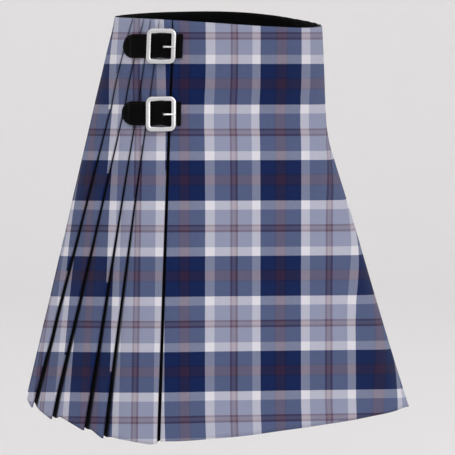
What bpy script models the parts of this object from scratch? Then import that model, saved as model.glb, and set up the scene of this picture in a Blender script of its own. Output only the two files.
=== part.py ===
"""A Scottish kilt, fastened and filled out as on a wearer, hollow, with nobody in it.

The wearer faces -Y, the wearer's right is -X and the origin is the centre of the waist opening.
Every cloth piece is a thin wall that follows level outlines of the body round the garment.
Places round the garment are arcs: metres from the front centre towards the wearer's right side.
Heights are shares: 0 at the waist edge, 1 at the hem.
"""

import math

import bmesh
import bpy
import numpy as np
from mathutils import Matrix, Vector

# Body outline: three sections down to the hip, and straight falls from there to the hem.
LENGTH = 0.603
HIP = 0.22
HIP_SOFTNESS = 0.04
SOFTENING = ((-1, 0.25), (0, 0.5), (1, 0.25))  # steps of share to each side, and their weights
SECTIONS = (
    # half_width, front_depth, back_depth, squareness
    (0.166, 0.137, 0.123, 2.2),  # waist
    (0.178, 0.130, 0.148, 2.3),  # seat, half way to the hip
    (0.177, 0.120, 0.192, 2.4),  # hip
    (0.286, 0.232, 0.231, 3.3),  # hem
)
WAIST_RISE = 0.014
WAIST_TWIST = 0.0035
HEM_RISE = 0.0175
HEM_SIDE_DROP = 0.0055
ANGLE_STEPS = 720

# Cloth
CLOTH = 0.0013
LINING = 0.0010
SEAM = 0.0003
SEAM_ARC = 0.0004
LAYER = 0.0019
STEP_STITCHED = 0.0038
STEP_OPEN = 0.0090
TUCK = 0.62
SHARES = (0.0, 0.07, 0.14, 0.20, 0.26, 0.50, 0.75, 1.0)

# Arcs of the apron's edges and of the first folds, at the waist, the hip and the hem.
STATIONS = (0.0, HIP, 1.0)
APRON_FREE_EDGE = (0.152, 0.148, 0.239)
APRON_PRESSED_EDGE = (0.157, 0.171, 0.263)
FIRST_FOLDS = (
    (0.1552, 0.1552, 0.2472),
    (0.177, 0.188, 0.334),
    (0.192, 0.208, 0.378),
    (0.205, 0.238, 0.478),
    (0.230, 0.278, 0.545),
    (0.322, 0.384, 0.614),
    (0.352, 0.422, 0.656),
)
REGULAR_PLEATS = 18
SEAM_FOLD = 11
SEAM_SHARE = 0.45
APRON_TUCK = 0.055
APRON_STEPS = 9
UNDER_APRON_STEPS = 12
UNDER_APRON_SHORT = 0.006
LINING_SHARES = (0.007, 0.07, 0.14, 0.20, 0.26, 0.33)
LINING_STEPS = 44
LINING_SHORT = 0.004
LINING_EASE = 0.0014

# Strap, buckle, prong and tab. Runs are metres from the buckle's centre towards the strap's tip,
# and heights are metres out from the cloth.
STRAP_WIDTH = 0.036
STRAP_THICK = 0.0020
STRAP_LIFT = 0.0010  # the strap lies a little above the middle of the frame
TIP_STEPS = 4
TIP_TURN = math.radians(78)
RUN_STEP = 0.008
TAB_WIDTH = 0.029
TAB_THICK = 0.0014
TAB_LENGTH = 0.050
TAB_RETURN = 0.0095
TAB_STEPS = 6
TAB_SLOT = 0.0048
BAR_RADIUS = 0.0014
BAR_HEIGHT = 0.0048
BAR_SIDES = 10
FRAME_LENGTH = 0.0462
FRAME_HEIGHT = 0.0526
FRAME_BAR = 0.0070
FRAME_THICK = 0.0026
FRAME_LEVEL = 0.0063
FRAME_CORNER = 0.0060
CORNER_STEPS = 4
PRONG_WIDTH = 0.0034
PRONG_THICK = 0.0014
PRONG_LIFT = -0.0012
HOLE_RUN = -0.0044
HOLE_RADIUS = 0.0027
HOLE_SIDES = 12
CUT_REACH = 0.0115
EYE_STEPS = 9
TAB_TURNS = (-80, -270)  # degrees round the centre bar, from the strap's tip side upwards
PRONG_TURNS = (80, -180)
TAB_DIP = 0.0008
FITTING_SPAN = 0.020
SWELL_RUNS = (-0.060, -0.048, -0.030, -0.015, 0.0, 0.015, 0.030, 0.050, 0.074)
SWELL_RISES = (-0.018, -0.009, 0.0, 0.009, 0.0192)
SWELL_SPARE = 0.00012
STRAP_RISE = (
    # run, height of the strap's middle
    (-0.0250, 0.00195),
    (-0.0165, 0.00195),
    (-0.0090, 0.00560),
    (-0.0032, 0.00890),
    (0.0000, 0.00920),
    (0.0032, 0.00890),
    (0.0095, 0.00620),
    (0.0150, 0.00390),
    (0.0200, 0.00365),
    (0.0520, 0.00365),
    (0.0560, 0.00195),
)
PRONG_TONGUE = (
    # run, height of the prong's middle
    (-0.0036, 0.0063),
    (-0.0044, 0.0090),
    (-0.0068, 0.0104),
    (-0.0130, 0.0096),
    (-0.0190, 0.0087),
    (-0.0235, 0.0085),
)
UPPER_ROOT = ((-0.0310, 0.00195),)
LOWER_ROOT = ((-0.0285, 0.00195),)
HIDDEN_ROOT = ((-0.0600, -0.0007), (-0.0425, 0.00195))  # comes out from under a pleat
FASTENINGS = (
    # name, (side: 1 wearer's right and -1 left, arc, height, lean), root and tip of the strap
    ("upper", (1, 0.1683, -0.0447, 0.0), UPPER_ROOT, 0.0735),
    ("lower", (1, 0.1648, -0.1459, 0.055), LOWER_ROOT, 0.0705),
    ("left", (-1, 0.2520, -0.0560, 0.0), HIDDEN_ROOT, 0.0735),
)

# Finishes: colour, roughness, metallic
FINISHES = {
    "tartan": ((0.21, 0.24, 0.36), 0.90, 0.0),
    "lining": ((0.012, 0.012, 0.014), 0.85, 0.0),
    "leather": ((0.015, 0.014, 0.014), 0.50, 0.0),
    "silver_metal": ((0.78, 0.79, 0.81), 0.25, 1.0),
}

ANGLES = np.linspace(-0.5 * math.pi, -2.5 * math.pi, ANGLE_STEPS + 1)


def power(values, exponent):
    """Raise to a power and keep the sign."""
    return np.sign(values) * np.abs(values) ** exponent


def section_outline(half_width, front_depth, back_depth, squareness):
    """Half-round outline with its own depth in front and behind, at every angle."""
    across = half_width * power(np.cos(ANGLES), 2 / squareness)
    depth = np.where(np.sin(ANGLES) < 0, front_depth, back_depth)
    along = depth * power(np.sin(ANGLES), 2 / squareness)
    return np.stack((across, along), axis=1)


OUTLINES = [section_outline(*row) for row in SECTIONS]
WAIST_LINE = WAIST_RISE * np.sin(ANGLES) + WAIST_TWIST * np.sin(2 * ANGLES)
HEM_LINE = HEM_RISE * np.sin(ANGLES) - HEM_SIDE_DROP * np.cos(2 * ANGLES) - LENGTH


def body_plan(share):
    """Outline in plan at a share for each angle: curved down to the hip and straight below."""
    above = np.clip(share / HIP, 0, 1)
    below = np.maximum((share - HIP) / (1 - HIP), 0)
    blend = (
        (1 - above) * (1 - 2 * above),
        4 * above * (1 - above),
        above * (2 * above - 1) * (1 - below),
        below,
    )
    return sum(part[:, None] * outline for part, outline in zip(blend, OUTLINES))


class Level:
    """One line round the garment, at a share of its length or at a height."""

    def __init__(self, share=None, height=None):
        if share is None:
            share = (WAIST_LINE - height) / (WAIST_LINE - HEM_LINE)
        share = share * np.ones(len(ANGLES))
        plan = sum(
            weight * body_plan(share + shift * HIP_SOFTNESS)
            for shift, weight in SOFTENING
        )
        height = WAIST_LINE * (1 - share) + HEM_LINE * share
        self.points = np.column_stack((plan, height))
        lengths = np.linalg.norm(np.diff(plan, axis=0), axis=1)
        self.arcs = np.concatenate(((0.0,), np.cumsum(lengths)))
        self.girth = self.arcs[-1]
        tangents = np.gradient(plan, axis=0)
        tangents /= np.linalg.norm(tangents, axis=1)[:, None]
        self.normals = np.column_stack((-tangents[:, 1], tangents[:, 0]))

    def at(self, arc, out=0.0):
        """Point at an arc, moved straight out from the body."""
        arc = arc % self.girth
        place = [np.interp(arc, self.arcs, self.points[:, axis]) for axis in range(3)]
        normal = [np.interp(arc, self.arcs, self.normals[:, axis]) for axis in range(2)]
        return Vector((place[0] + normal[0] * out, place[1] + normal[1] * out, place[2]))


def between(stations, share):
    """Value at a share, from its values at the waist, the hip and the hem."""
    return float(np.interp(share, STATIONS, stations))


def step_in(share):
    """How far each face ends below the next fold: stitched down to the hip, open at the hem."""
    return between((STEP_STITCHED, STEP_STITCHED, STEP_OPEN), share)


def fold_arc(index, share, level):
    """Arc of a pleat's fold edge."""
    last_listed = len(FIRST_FOLDS) - 1
    if index <= last_listed:
        return between(FIRST_FOLDS[index], share)
    start = between(FIRST_FOLDS[last_listed], share)
    end = level.girth - between(APRON_PRESSED_EDGE, share)
    return start + (end - start) * (index - last_listed) / REGULAR_PLEATS


PLEATS = len(FIRST_FOLDS) - 1 + REGULAR_PLEATS


def inner_layer(index, share, level):
    """Where a pleat's hidden layers lie: its fold, its depth and how far its face sinks there."""
    fold = fold_arc(index, share, level)
    width = fold_arc(index + 1, share, level) - fold
    return fold, TUCK * width, TUCK * step_in(share)


def inner_height(part, sink, share):
    """Height of the innermost layer at a part of the pleat's depth."""
    start = -step_in(share)
    return start + part * (-2 * LAYER - sink - start)


def pleat_points(index, share, level):
    """Cloth of one pleat after its seam line: inner layer, middle layer, fold and face."""
    fold, depth, sink = inner_layer(index, share, level)
    half = fold + depth / 2
    deep = fold + depth
    return [
        (half, inner_height(0.5, sink, share)),
        (deep, -2 * LAYER - sink),
        (deep, -LAYER - sink),
        (half, -LAYER - sink / 2),
        (fold, -LAYER),
        (fold, 0.0),
        (half, -sink / 2),
        (deep, -sink),
    ]


def face_end(index, share, level):
    """Where a pleat's face passes under the next fold."""
    return (fold_arc(index, share, level), -step_in(share))


def seam_point(index, share, level, gap):
    """A point of the innermost layer by the seam hidden in it."""
    fold, depth, sink = inner_layer(index, share, level)
    return (fold + SEAM_SHARE * depth + gap, inner_height(SEAM_SHARE, sink, share))


def pleats_right_section(share, level):
    """From the seam with the under apron to the seam at the centre of the back."""
    points = [seam_point(0, share, level, SEAM_ARC)]
    for index in range(SEAM_FOLD):
        points += pleat_points(index, share, level)
        points.append(face_end(index + 1, share, level))
    points.append(seam_point(SEAM_FOLD, share, level, 0.0))
    return points


def pleats_left_section(share, level):
    """From the seam at the centre of the back to the seam hidden behind the apron's edge."""
    points = [seam_point(SEAM_FOLD, share, level, SEAM_ARC)]
    for index in range(SEAM_FOLD, PLEATS):
        points += pleat_points(index, share, level)
        points.append(face_end(index + 1, share, level))
    edge = level.girth - between(APRON_PRESSED_EDGE, share)
    points.append((edge + SEAM_SHARE * APRON_TUCK, -step_in(share)))
    return points


def over_apron_section(share, level):
    """From the free edge across the front, round the pressed edge and back inside it."""
    step = step_in(share)
    free = between(APRON_FREE_EDGE, share)
    edge = -between(APRON_PRESSED_EDGE, share)
    half = edge + APRON_TUCK / 2
    deep = edge + APRON_TUCK
    points = [(arc, 0.0) for arc in np.linspace(free, deep, APRON_STEPS)]
    points += [
        (half, 0.0),
        (edge, 0.0),
        (edge, -LAYER),
        (half, -step / 2),
        (deep, LAYER - step),
        (deep, -step),
        (edge + SEAM_SHARE * APRON_TUCK + SEAM_ARC, -step),
    ]
    return points


def under_apron_end(share):
    """Arc of the under apron's far edge, inside the wearer's left hip."""
    return APRON_TUCK + UNDER_APRON_SHORT - between(APRON_PRESSED_EDGE, share)


def under_apron_section(share, level):
    """From its edge at the left hip, behind the front, to its seam inside the first pleat."""
    fold = fold_arc(0, share, level)
    arcs = np.linspace(under_apron_end(share), fold, UNDER_APRON_STEPS)
    points = [(arc, -step_in(share)) for arc in arcs]
    points.append(seam_point(0, share, level, 0.0))
    return points


def lining_section(share, level):
    """Round the inside of the pleats and of the under apron."""
    start = under_apron_end(share) + LINING_SHORT
    end = level.girth + under_apron_end(share) - UNDER_APRON_SHORT - LINING_SHORT
    height = -(2 * LAYER + TUCK * step_in(share) + CLOTH / 2 + LINING_EASE + LINING / 2)
    return [(arc, height) for arc in np.linspace(start, end, LINING_STEPS)]


def finish(name):
    """A named finish as a Principled material."""
    if name in bpy.data.materials:
        return bpy.data.materials[name]
    colour, roughness, metallic = FINISHES[name]
    material = bpy.data.materials.new(name)
    material.use_nodes = True
    shader = material.node_tree.nodes["Principled BSDF"]
    shader.inputs["Base Color"].default_value = (*colour, 1.0)
    shader.inputs["Roughness"].default_value = roughness
    shader.inputs["Metallic"].default_value = metallic
    return material


def add_object(name, mesh, finish_name, collection):
    """Put a mesh in the scene as one named object with its finish."""
    body = bpy.data.objects.new(name, mesh)
    mesh.materials.clear()
    mesh.materials.append(finish(finish_name))
    collection.objects.link(body)
    return body


def wall(name, rows, thickness, finish_name, collection):
    """A grid of cloth or leather through rows of points, thickened to a wall."""
    count = len(rows[0])
    bm = bmesh.new()
    bmesh.ops.create_grid(bm, x_segments=count - 1, y_segments=len(rows) - 1, size=1.0)
    for vert in bm.verts:
        column = round((vert.co.x + 1) / 2 * (count - 1))
        row = round((vert.co.y + 1) / 2 * (len(rows) - 1))
        vert.co = rows[row][column]
    bmesh.ops.triangulate(bm, faces=bm.faces, quad_method="SHORT_EDGE")
    mesh = bpy.data.meshes.new(name)
    bm.to_mesh(mesh)
    bm.free()
    body = add_object(name, mesh, finish_name, collection)
    solid = body.modifiers.new("thickness", "SOLIDIFY")
    solid.thickness = thickness
    solid.offset = 0.0
    solid.use_even_offset = True
    return body


def cloth(name, section, collection, shares=SHARES, thickness=CLOTH, finish_name="tartan"):
    """A cloth piece from its section at each level."""
    rows = []
    for share in shares:
        level = Level(share=share)
        rows.append([level.at(arc, out) for arc, out in section(share, level)])
    return wall(name, rows, thickness, finish_name, collection)


class Fitting:
    """Where one fastening sits: a point of the body and its own directions there.

    Leather and metal are straight from top to bottom, and lifted clear of any hollow of the body.
    The lean is how far it moves towards the front for each metre up.
    """

    def __init__(self, side, arc, height, lean):
        self.side = side
        self.arc = arc
        self.height = height
        self.lean = lean
        self.line = Level(height=height)
        rise = FITTING_SPAN
        self.up = (self.bare(0.0, rise) - self.bare(0.0, -rise)).normalized()
        along = (self.bare(rise, 0.0) - self.bare(-rise, 0.0)).normalized()
        self.out = (along.cross(self.up) * -side).normalized()
        self.along = self.out.cross(self.up) * side
        self.lifts = [self.lift(run) for run in SWELL_RUNS]
        self.centre = self.on_body(0.0, 0.0, 0.0)

    def bare(self, run, rise):
        """Point of the body itself."""
        arc = self.arc + run - self.lean * rise
        return Level(height=self.height + rise).at(self.side * arc)

    def swell(self, run, rise):
        """How far the body stands out from a straight line up through its middle."""
        return (self.bare(run, rise) - self.bare(run, 0.0) - self.up * rise).dot(self.out)

    def lift(self, run):
        """How far straight leather stands off the body's line to clear its swell."""
        return SWELL_SPARE + max(self.swell(run, rise) for rise in SWELL_RISES)

    def on_body(self, run, out, rise):
        """A point that follows the curve of the body round it."""
        lift = float(np.interp(run, SWELL_RUNS, self.lifts))
        return self.line.at(self.side * (self.arc + run), out + lift) + self.up * rise

    def in_plane(self, run, out, rise):
        """A point on the flat plane of the buckle."""
        return self.centre + self.along * run + self.out * out + self.up * rise

    def matrix(self, out):
        """Placement of a flat shape: its X along the strap, its Y up, its Z outwards."""
        across = self.up.cross(self.out)
        turn = Matrix((across, self.up, self.out)).transposed().to_4x4()
        return Matrix.Translation(self.centre + self.out * out) @ turn


def even_runs(start, end):
    """Runs from one to the other, close enough to follow the body."""
    return np.linspace(start, end, math.ceil(abs(end - start) / RUN_STEP) + 1)


def strap_outline(root, tip):
    """Runs along the strap with its half width, square at the root and round at the tip."""
    radius = STRAP_WIDTH / 2
    round_from = tip - radius
    outline = [(run, radius) for run, _ in root + STRAP_RISE]
    outline += [(run, radius) for run in even_runs(root[-1][0], STRAP_RISE[0][0])[1:-1]]
    outline += [(run, radius) for run in even_runs(STRAP_RISE[-3][0], STRAP_RISE[-2][0])[1:-1]]
    for step in range(TIP_STEPS + 1):
        turn = TIP_TURN * step / TIP_STEPS
        outline.append((round_from + radius * math.sin(turn), radius * math.cos(turn)))
    return sorted(outline)


def strap(name, fitting, root, tip, collection):
    """Leather strap that passes under the frame's sides and over its centre bar."""
    rise = root + STRAP_RISE
    runs = [run for run, _ in rise]
    heights = [height for _, height in rise]
    rows = []
    for edge in (-1, 1):
        row = []
        for run, half_width in strap_outline(root, tip):
            height = float(np.interp(run, runs, heights))
            row.append(fitting.on_body(run, height, STRAP_LIFT + edge * half_width))
        rows.append(row)
    return wall(name, rows, STRAP_THICK, "leather", collection)


def eye(ends, radius):
    """Runs and heights round the centre bar, from one turn to the other."""
    turns = np.radians(np.linspace(*ends, EYE_STEPS))
    return [(radius * math.cos(turn), BAR_HEIGHT + radius * math.sin(turn)) for turn in turns]


def tab(name, fitting, collection):
    """Leather tab that holds the buckle: sewn to the cloth, round the bar and back."""
    radius = BAR_RADIUS + SEAM + TAB_THICK / 2
    low = CLOTH / 2 + SEAM + TAB_THICK / 2
    path = [(run, low) for run in np.linspace(TAB_LENGTH, TAB_RETURN, TAB_STEPS)]
    path += eye(TAB_TURNS, radius)
    path.append((TAB_RETURN / 2, BAR_HEIGHT + TAB_DIP))
    path.append((TAB_RETURN, low + TAB_THICK + SEAM))
    rows = []
    for rise in (-TAB_WIDTH / 2, TAB_WIDTH / 2):
        rows.append([fitting.on_body(run, height, rise) for run, height in path])
    return wall(name, rows, TAB_THICK, "leather", collection)


def prong(name, fitting, collection):
    """Prong: an eye round the centre bar and a tongue that rests on the frame."""
    radius = BAR_RADIUS + SEAM + PRONG_THICK / 2
    path = eye(PRONG_TURNS, radius) + list(PRONG_TONGUE)
    rows = []
    for rise in (PRONG_LIFT - PRONG_WIDTH / 2, PRONG_LIFT + PRONG_WIDTH / 2):
        rows.append([fitting.in_plane(run, height, rise) for run, height in path])
    return wall(name, rows, PRONG_THICK, "silver_metal", collection)


def rounded_loop(length, height, corner):
    """Middle line of the frame: a rectangle with round corners."""
    points = []
    for quarter, (east, north) in enumerate(((1, 1), (-1, 1), (-1, -1), (1, -1))):
        for step in range(CORNER_STEPS + 1):
            turn = math.pi / 2 * (quarter + step / CORNER_STEPS)
            across = east * (length / 2 - corner) + corner * math.cos(turn)
            up = north * (height / 2 - corner) + corner * math.sin(turn)
            points.append((across, up, 0.0))
    return points


def buckle(name, fitting, collection, cutters):
    """Rounded frame with a centre bar."""
    points = rounded_loop(FRAME_LENGTH - FRAME_BAR, FRAME_HEIGHT - FRAME_BAR, FRAME_CORNER)
    curve = bpy.data.curves.new(name, "CURVE")
    curve.dimensions = "3D"
    curve.bevel_depth = FRAME_BAR / 2
    curve.bevel_resolution = 2
    spline = curve.splines.new("POLY")
    spline.points.add(len(points) - 1)
    for target, point in zip(spline.points, points):
        target.co = (*point, 1.0)
    spline.use_cyclic_u = True
    tube = bpy.data.objects.new(name + "_tube", curve)
    collection.objects.link(tube)
    evaluated = tube.evaluated_get(bpy.context.evaluated_depsgraph_get())
    mesh = bpy.data.meshes.new_from_object(evaluated)
    bpy.data.objects.remove(tube)
    mesh.transform(Matrix.Diagonal((1.0, 1.0, FRAME_THICK / FRAME_BAR, 1.0)))
    mesh.transform(fitting.matrix(FRAME_LEVEL))
    body = add_object(name, mesh, "silver_metal", collection)
    bm = bmesh.new()
    bmesh.ops.create_cone(
        bm,
        cap_ends=True,
        segments=BAR_SIDES,
        radius1=BAR_RADIUS,
        radius2=BAR_RADIUS,
        depth=FRAME_HEIGHT - FRAME_BAR,
        matrix=fitting.matrix(BAR_HEIGHT) @ Matrix.Rotation(math.pi / 2, 4, "X"),
    )
    bar = cutter(name + "_bar", bm, cutters)
    cut(body, bar, "UNION")
    return body


def cutter(name, bm, cutters):
    """A helper shape that takes part in a Boolean and isn't built itself."""
    mesh = bpy.data.meshes.new(name)
    bm.to_mesh(mesh)
    bm.free()
    body = bpy.data.objects.new(name, mesh)
    cutters.objects.link(body)
    body.hide_render = True
    body.display_type = "WIRE"
    return body


def cut(body, tool, operation="DIFFERENCE"):
    """Boolean with a helper shape."""
    boolean = body.modifiers.new(tool.name, "BOOLEAN")
    boolean.operation = operation
    boolean.object = tool


def strap_hole(name, fitting, cutters):
    """Round hole that the prong passes through."""
    bm = bmesh.new()
    place = fitting.matrix(BAR_HEIGHT + HOLE_RADIUS)
    place.translation += fitting.along * HOLE_RUN + fitting.up * PRONG_LIFT
    bmesh.ops.create_cone(
        bm,
        cap_ends=True,
        segments=HOLE_SIDES,
        radius1=HOLE_RADIUS,
        radius2=HOLE_RADIUS,
        depth=CUT_REACH,
        matrix=place,
    )
    return cutter(name, bm, cutters)


def tab_slot(name, fitting, cutters):
    """Slot across the tab's loop, which leaves room for the prong's eye."""
    bm = bmesh.new()
    bmesh.ops.create_cube(bm, size=1.0)
    place = fitting.matrix(BAR_HEIGHT)
    place.translation += fitting.up * PRONG_LIFT
    bm.transform(place @ Matrix.Diagonal((CUT_REACH, TAB_SLOT, CUT_REACH, 1.0)))
    return cutter(name, bm, cutters)


def fastening(name, place, root, tip, collection, cutters):
    """One strap with its buckle, prong and tab."""
    fitting = Fitting(*place)
    leather = strap("strap_" + name, fitting, root, tip, collection)
    cut(leather, strap_hole("hole_" + name, fitting, cutters))
    holder = tab("tab_" + name, fitting, collection)
    cut(holder, tab_slot("slot_" + name, fitting, cutters))
    buckle("buckle_" + name, fitting, collection, cutters)
    prong("prong_" + name, fitting, collection)


def new_collection(name):
    """A collection in the scene."""
    collection = bpy.data.collections.new(name)
    bpy.context.scene.collection.children.link(collection)
    return collection


def main():
    for old in list(bpy.data.objects):
        bpy.data.objects.remove(old, do_unlink=True)
    kilt = new_collection("kilt")
    cutters = new_collection("cutters")
    cloth("over_apron", over_apron_section, kilt)
    cloth("under_apron", under_apron_section, kilt)
    cloth("pleats_right", pleats_right_section, kilt)
    cloth("pleats_left", pleats_left_section, kilt)
    cloth("lining", lining_section, kilt, LINING_SHARES, LINING, "lining")
    for name, place, root, tip in FASTENINGS:
        fastening(name, place, root, tip, kilt, cutters)


main()
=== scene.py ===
"""Looks of a Scottish kilt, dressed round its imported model.

The wearer faces -Y, the wearer's right is -X and the origin is the centre of the waist opening.
Places round the garment are arcs: metres from the front centre towards the wearer's right side.
Heights are shares: 0 at the waist edge, 1 at the hem. Depths are metres out from the body.
Places on the cloth are setts: one sett is one repeat of the tartan, across the cloth and down it.
"""

import math

import bmesh
import bpy
import numpy as np
from mathutils import Matrix, Vector


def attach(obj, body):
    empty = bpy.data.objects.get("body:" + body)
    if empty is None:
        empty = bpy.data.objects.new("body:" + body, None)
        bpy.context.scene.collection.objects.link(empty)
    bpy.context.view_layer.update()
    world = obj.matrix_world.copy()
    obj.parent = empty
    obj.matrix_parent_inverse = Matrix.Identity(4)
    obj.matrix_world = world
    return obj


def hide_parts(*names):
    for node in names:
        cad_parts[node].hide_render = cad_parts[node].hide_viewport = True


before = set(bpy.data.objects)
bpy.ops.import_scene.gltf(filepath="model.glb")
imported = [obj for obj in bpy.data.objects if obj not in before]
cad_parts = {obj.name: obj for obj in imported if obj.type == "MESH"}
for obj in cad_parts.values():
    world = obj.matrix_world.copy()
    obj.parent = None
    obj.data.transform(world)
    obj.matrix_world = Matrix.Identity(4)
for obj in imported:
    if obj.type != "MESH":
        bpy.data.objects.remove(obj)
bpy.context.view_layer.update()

# ---------------------------------------------------------------- body
# The sections are the solids' own. Only the waist edge, which is a little lower behind, and the
# first folds at the hem differ from them by some millimetres.
LENGTH = 0.603  # from the waist edge to the hem
HIP = 0.22  # share at which the cloth leaves the body and the pleats' stitching ends
HIP_SOFTNESS = 0.04
SOFTENING = ((-1, 0.25), (0, 0.5), (1, 0.25))  # shift and weight
SECTIONS = (
    # half_width, front_depth, back_depth, squareness
    (0.166, 0.137, 0.123, 2.2),  # waist
    (0.178, 0.130, 0.148, 2.3),  # seat, half way to the hip
    (0.177, 0.120, 0.192, 2.4),  # hip
    (0.286, 0.232, 0.231, 3.3),  # hem
)
WAIST_RISE = 0.013  # the waist edge is this much higher behind and lower in front
WAIST_DROP = 0.001
WAIST_TWIST = 0.0035
HEM_RISE = 0.0175
HEM_SIDE_DROP = 0.0055
ANGLE_STEPS = 720
ANGLES = np.linspace(-0.5 * math.pi, -2.5 * math.pi, ANGLE_STEPS + 1)  # from the front centre

# ---------------------------------------------------------------- cloth
CLOTH = 0.0013
LINING = 0.0010
SEAM_ARC = 0.0004  # gap between the two cloths at a seam
LAYER = 0.0019  # from one folded layer to the next
STEP_STITCHED = 0.0038  # how far a face ends below the next fold, down to the hip
STEP_OPEN = 0.0090  # the same at the hem
TUCK = 0.62  # hidden depth of a pleat, as a part of its face
STATIONS = (0.0, HIP, 1.0)  # waist, hip and hem
# Arcs at the waist, the hip and the hem
APRON_FREE_EDGE = (0.1525, 0.1492, 0.2402)
APRON_PRESSED_EDGE = (0.157, 0.171, 0.263)  # towards the wearer's left
FIRST_FOLDS = (
    (0.1552, 0.1542, 0.2458),
    (0.177, 0.187, 0.3415),
    (0.192, 0.207, 0.3865),
    (0.205, 0.238, 0.478),
    (0.230, 0.278, 0.545),
    (0.322, 0.384, 0.614),
    (0.352, 0.422, 0.656),
)
REGULAR_PLEATS = 18
PLEATS = len(FIRST_FOLDS) - 1 + REGULAR_PLEATS
SEAM_FOLD = 11  # the pleat that hides the seam at the centre of the back
SEAM_SHARE = 0.45  # where in a pleat's depth its seam lies
APRON_TUCK = 0.055
UNDER_APRON_SHORT = 0.006
LINING_SHARES = (0.0035, 0.33)
LINING_SHORT = 0.004
LINING_EASE = 0.0014

# How finely the cloth is drawn
CLOTH_ROWS = 92
LINING_ROWS = 34
LINING_COLUMNS = 230
APRON_COLUMNS = 104
UNDER_COLUMNS = 84
HIDDEN_STEPS = 5
HIDDEN_PARTS = np.linspace(1, 0, HIDDEN_STEPS + 1)[1:]  # from a pleat's depth out to its fold
HIDDEN_TURN = (-90, 90)  # degrees round the turn inside a pleat
FOLD_TURN = (-90, -270)
TURN_STEPS = 6
FACE_STEPS = 11
FACE_BOW = 1.25  # a face stays out near its fold and drops towards the next one
WIDE_PLEAT = 4  # the wide pleat at the wearer's right side, which stays out longer
WIDE_BOW = 4.5

# How it hangs: slow waves round the hem, uneven pleats, and hidden layers a little shorter
WAVES = (
    # waves round the hem, height of each in metres, turn at which it starts
    (4, 0.0013, 0.4),
    (7, 0.0012, 2.1),
    (11, 0.0010, 4.4),
    (17, 0.0007, 1.2),
)
HANG_START = 0.26  # share below which the cloth hangs freely
HANG_GROWTH = 1.5
LEFT_SIDE = -0.165  # arc round which the cloth stands out or in at the wearer's left side
LEFT_SPREAD = 0.065
LEFT_SWELL = (
    # share, metres out
    (0.00, 0.0046), (0.05, 0.0030), (0.09, 0.0017), (0.14, 0.0022), (0.19, 0.0040),
    (0.23, 0.0036), (0.27, 0.0000), (0.31, -0.0034), (0.38, -0.0032), (0.50, -0.0010),
    (0.65, 0.0000), (1.00, 0.0022),
)
TIP_REACH = 0.050  # the apron's lower corner swings out and down
TIP_FLARE = 0.0050
FLARE_CURVE = 2  # power with which it fades along the hem, and up from it
FLARE_GROWTH = 3
UNEVEN_PLEATS = 0.0026
UNEVEN_TURNS = (
    # turn from one pleat to the next, first turn, weight
    (2.4, 1.0, 0.6),
    (5.1, 0.0, 0.4),
)
HIDDEN_HEM_RISE = 0.0006
PLEAT_SAG = (
    # arc at the hem, metres the first pleats hang lower there: most at each fold
    (0.239, 0.0000), (0.250, 0.0058), (0.290, 0.0046), (0.329, 0.0056), (0.3415, 0.0085),
    (0.358, 0.0056), (0.374, 0.0030), (0.3865, 0.0052), (0.406, 0.0022), (0.430, 0.0000),
    (0.462, -0.0010), (0.478, 0.0052), (0.490, 0.0036), (0.515, 0.0016), (0.535, 0.0016),
    (0.545, 0.0022), (0.556, -0.0008), (0.614, -0.0010), (0.660, 0.0000),
)

# How dark the shade painted into the cloth's colour is between the pleats
SHADOW_SHARES = (0.0, 0.05, 0.14, 0.24)
SHADOW_DEPTHS = (0.12, 0.35, 0.8, 1.0)
REACH_STITCHED = 0.0022  # how far from a fold the face below it is painted dark as shade
REACH_OPEN = 0.0072  # how much further at the hem
REACH_GROWTH = 1.6
EDGE_SHADE = (0.45, 0.8)  # at this part of the reach, this part of the painted dark
SHADE_FALL = 1.5  # how fast a fold's turn comes out of the painted shade
UNDER_SHADE = 1.3  # the under apron is painted dark as shade from the free edge to a little way behind it
UNDER_SHADE_REACH = 0.03

# ---------------------------------------------------------------- tartan
SETT = 0.152
LAY_SOFTNESS = 0.06
# Where each sett falls round the apron: setts, and its arc at each of these shares
LAY_LEVELS = (0.0, 0.22, 0.32, 0.45, 0.70, 1.0)
APRON_LAY = (
    (3.00, (-0.600, -0.620, -0.580, -0.530, -0.430, -0.330)),
    (2.42, (-0.430, -0.470, -0.440, -0.390, -0.314, -0.200)),
    (2.00, (-0.300, -0.340, -0.300, -0.238, -0.143, -0.100)),
    (1.76, (-0.200, -0.222, -0.178, -0.129, -0.089, -0.054)),
    (1.52, (-0.098, -0.105, -0.089, -0.071, -0.042, -0.009)),
    (1.42, (-0.0703, -0.0805, -0.0685, -0.052, -0.0235, 0.009)),
    (1.00, (0.015, 0.004, 0.013, 0.026, 0.052, 0.083)),
    (0.42, (0.104, 0.099, 0.108, 0.120, 0.145, 0.174)),
    (0.00, (0.165, 0.160, 0.168, 0.181, 0.205, 0.234)),
    (-1.00, (0.316, 0.311, 0.319, 0.332, 0.356, 0.385)),
)
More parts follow.
